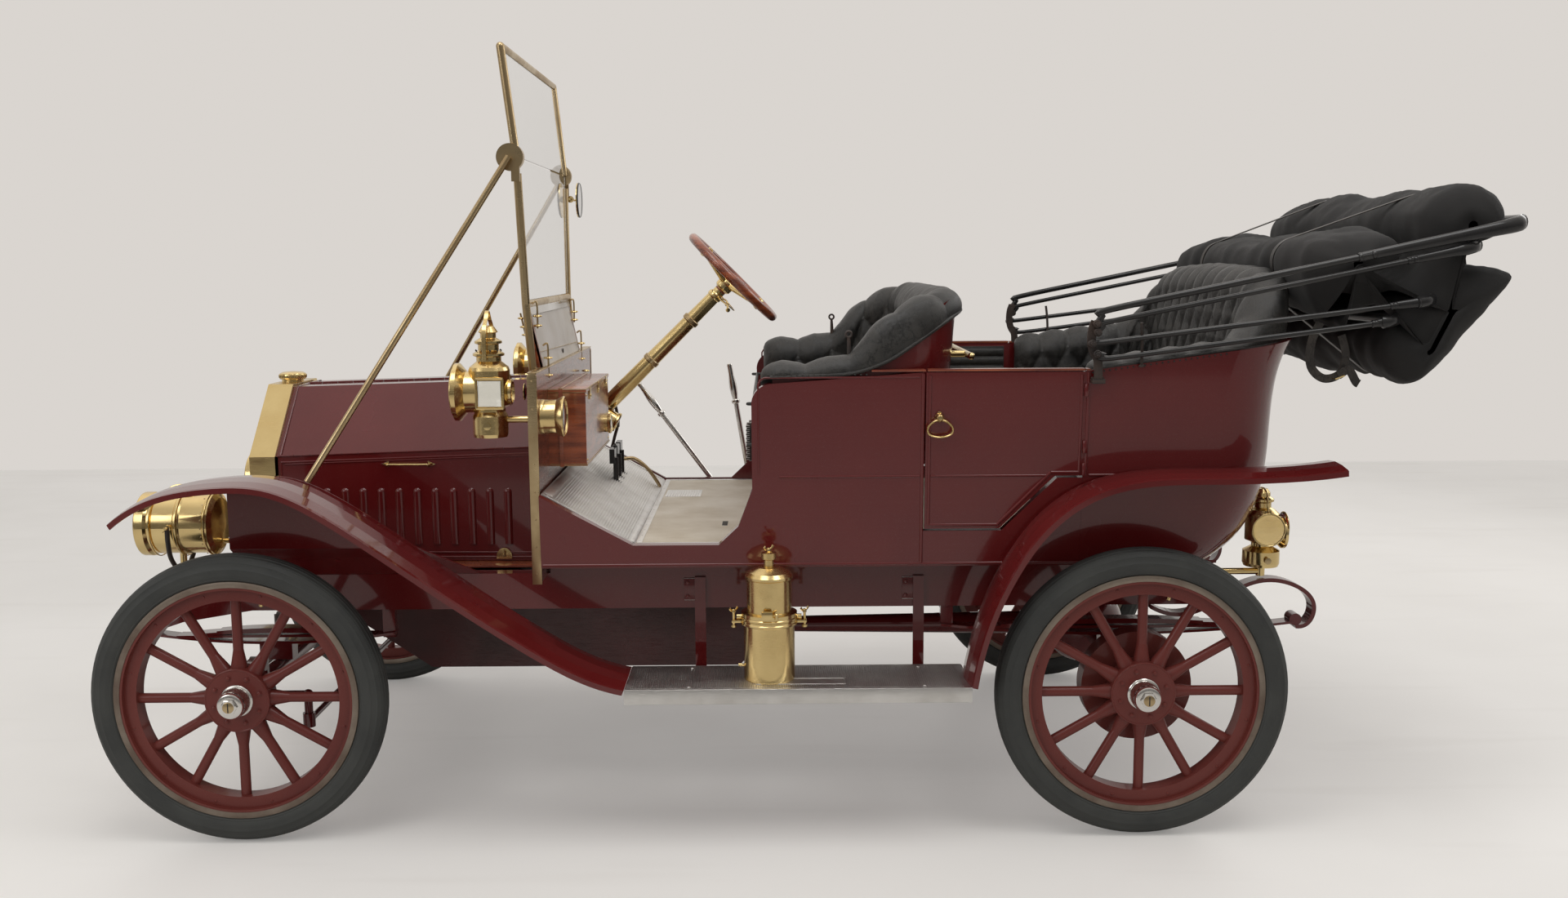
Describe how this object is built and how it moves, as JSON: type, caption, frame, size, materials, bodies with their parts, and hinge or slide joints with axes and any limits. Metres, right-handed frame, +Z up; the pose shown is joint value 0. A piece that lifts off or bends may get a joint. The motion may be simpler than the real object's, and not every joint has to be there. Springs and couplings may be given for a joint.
{
  "type": "touring car",
  "caption": "Open brass-era touring car with wooden spoked wheels, brass lamps and radiator, buttoned seats and a folded cloth top.",
  "frame": {"origin": "on the ground under the middle of the whole car", "axes": "the car faces -X, its left side is -Y, and +Z is up"},
  "size_m": [3.6908, 1.582, 2.069],
  "materials": {
    "maroon_paint": "deep glossy paint",
    "tyre_rubber": "smooth rubber",
    "brass": "polished",
    "glass": "clear",
    "dark_wood": "varnished mahogany",
    "white_board": "satin paint",
    "cream_floor": "smooth floor cloth",
    "aluminium": "ribbed",
    "black_leather": "buttoned, satin",
    "black_lacquer": "gloss",
    "black_cloth": "matt",
    "black_iron": "painted casting"
  },
  "bodies": {
    "chassis": {"bonnet_top": "maroon_paint", "coil_box": "dark_wood", "dash": "dark_wood", "engine": "black_iron", "fenders_front": "maroon_paint", "fenders_rear": "maroon_paint", "floor": "cream_floor", "frame": "maroon_paint", "front_axle": "maroon_paint", "front_back_pad": "black_leather", "front_body": "maroon_paint", "front_cushion": "black_leather", "front_springs": "maroon_paint", "generator": "brass", "glass_lower": "glass", "hand_levers": "black_lacquer", "headlamps": "brass", "mirror": "brass", "pedals": "black_lacquer", "radiator": "brass", "rear_axle": "maroon_paint", "rear_back_pad": "black_leather", "rear_cushion": "black_leather", "rear_springs": "maroon_paint", "rear_tub": "maroon_paint", "robe_rail": "brass", "running_boards": "aluminium", "screen_board": "white_board", "screen_stays": "brass", "sidelamps": "brass", "speedometer": "brass", "starting_crank": "black_iron", "steering_column": "black_lacquer", "tail_lamp": "brass", "toe_board": "aluminium", "top_bows": "black_lacquer", "top_cloth": "black_cloth", "under_pan": "black_iron", "windscreen_lower": "brass"},
    "wheel_front_left": {"tyre_front_left": "tyre_rubber", "wheel_front_left": "maroon_paint"},
    "wheel_front_right": {"tyre_front_right": "tyre_rubber", "wheel_front_right": "maroon_paint"},
    "wheel_rear_left": {"tyre_rear_left": "tyre_rubber", "wheel_rear_left": "maroon_paint"},
    "wheel_rear_right": {"tyre_rear_right": "tyre_rubber", "wheel_rear_right": "maroon_paint"},
    "knuckle_left": {"knuckle_left": "maroon_paint"},
    "knuckle_right": {"knuckle_right": "maroon_paint"},
    "tie_rod": {"tie_rod": "maroon_paint"},
    "drop_arm": {"drop_arm": "maroon_paint"},
    "drag_link": {"drag_link": "maroon_paint"},
    "steering_wheel": {"steering_wheel": "dark_wood"},
    "rear_door_left": {"rear_door_left": "maroon_paint"},
    "rear_door_right": {"rear_door_right": "maroon_paint"},
    "screen_top": {"windscreen_upper": "brass", "glass_upper": "glass"},
    "bonnet_side_left": {"bonnet_side_left": "maroon_paint"},
    "bonnet_side_right": {"bonnet_side_right": "maroon_paint"}
  },
  "joints": [
    {"name": "wheel_front_left_spin", "type": "hinge", "parent": "knuckle_left", "child": "wheel_front_left", "pos_m": [-1.4643, -0.711, 0.381], "axis": [0, 1, 0], "continuous": true},
    {"name": "wheel_front_right_spin", "type": "hinge", "parent": "knuckle_right", "child": "wheel_front_right", "pos_m": [-1.4643, 0.711, 0.381], "axis": [0, 1, 0], "continuous": true},
    {"name": "wheel_rear_left_spin", "type": "hinge", "parent": "chassis", "child": "wheel_rear_left", "pos_m": [0.8727, -0.711, 0.381], "axis": [0, 1, 0], "continuous": true},
    {"name": "wheel_rear_right_spin", "type": "hinge", "parent": "chassis", "child": "wheel_rear_right", "pos_m": [0.8727, 0.711, 0.381], "axis": [0, 1, 0], "continuous": true},
    {"name": "steer_left", "type": "hinge", "parent": "chassis", "child": "knuckle_left", "pos_m": [-1.4643, -0.612, 0.381], "axis": [0, 0, 1], "range_deg": [-27, 27]},
    {"name": "steer_right", "type": "hinge", "parent": "chassis", "child": "knuckle_right", "pos_m": [-1.4643, 0.612, 0.381], "axis": [0, 0, 1], "range_deg": [-27, 27]},
    {"name": "tie_rod_pivot", "type": "hinge", "parent": "knuckle_right", "child": "tie_rod", "pos_m": [-1.3243, 0.612, 0.285], "axis": [0, 0, 1], "range_deg": [-27, 27]},
    {"name": "drop_arm_swing", "type": "hinge", "parent": "chassis", "child": "drop_arm", "pos_m": [-1.0563, 0.4475, 0.615], "axis": [0, -1, 0], "range_deg": [-24.35, 24.35]},
    {"name": "drag_link_pivot", "type": "hinge", "parent": "drop_arm", "child": "drag_link", "pos_m": [-1.0563, 0.4715, 0.463], "axis": [0, -1, 0], "range_deg": [-24.35, 24.35]},
    {"name": "steering_wheel_turn", "type": "hinge", "parent": "chassis", "child": "steering_wheel", "pos_m": [-0.2263, 0.262, 1.422], "axis": [0.7105, 0, 0.7037], "range_deg": [-243, 243]},
    {"name": "rear_door_left_hinge", "type": "hinge", "parent": "chassis", "child": "rear_door_left", "pos_m": [0.7307, -0.59, 0.69], "axis": [0, -0.0673, 0.9977], "range_deg": [0, 32]},
    {"name": "rear_door_right_hinge", "type": "hinge", "parent": "chassis", "child": "rear_door_right", "pos_m": [0.7307, 0.59, 0.69], "axis": [0, -0.0673, -0.9977], "range_deg": [0, 32]},
    {"name": "windscreen_fold", "type": "hinge", "parent": "chassis", "child": "screen_top", "pos_m": [-0.7723, 0, 1.772], "axis": [0, -1, 0], "range_deg": [0, 172]},
    {"name": "bonnet_side_left_hinge", "type": "hinge", "parent": "chassis", "child": "bonnet_side_left", "pos_m": [-1.4923, -0.286, 0.952], "axis": [-0.9989, 0.0312, -0.0338], "range_deg": [0, 50]},
    {"name": "bonnet_side_right_hinge", "type": "hinge", "parent": "chassis", "child": "bonnet_side_right", "pos_m": [-1.4923, 0.286, 0.952], "axis": [0.9989, 0.0312, 0.0338], "range_deg": [0, 50]}
  ],
  "couplings": [
    {"joint": "steer_left", "follows": "steer_right", "ratio": 1},
    {"joint": "tie_rod_pivot", "follows": "steer_right", "ratio": -1},
    {"joint": "drop_arm_swing", "follows": "steer_right", "ratio": 0.9015},
    {"joint": "drag_link_pivot", "follows": "steer_right", "ratio": -0.9015},
    {"joint": "steering_wheel_turn", "follows": "steer_right", "ratio": 9}
  ]
}
